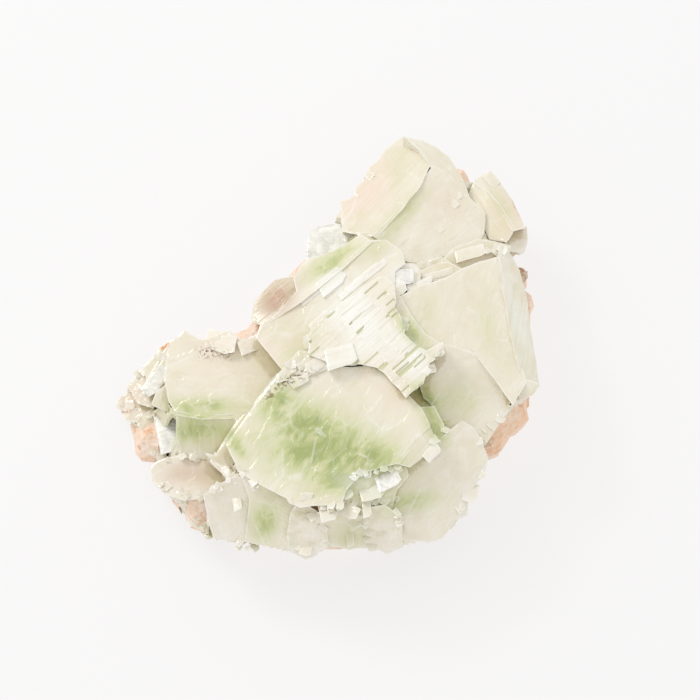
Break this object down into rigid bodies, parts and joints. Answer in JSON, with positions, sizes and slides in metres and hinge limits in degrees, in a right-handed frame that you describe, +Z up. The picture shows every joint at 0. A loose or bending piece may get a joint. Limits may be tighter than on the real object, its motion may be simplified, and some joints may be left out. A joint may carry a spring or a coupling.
{
  "type": "apophyllite specimen",
  "caption": "Mineral specimen: blocky, milky green-white apophyllite crystals with terraced faces, grown on a lump of peach stilbite that rests flat.",
  "frame": {"origin": "on the resting plane, straight below the middle of the bounding box", "axes": "+Z up from the resting face, +Y towards the tall prismatic crystal at the back, so the viewer of the picture stands at -Y and looks steeply down"},
  "size_m": [0.1296, 0.1306, 0.0578],
  "materials": {
    "apophyllite": "glossy",
    "stilbite": "matte"
  },
  "bodies": {
    "root": {"apophyllite_cluster": "apophyllite", "stilbite_matrix": "stilbite"}
  },
  "joints": []
}
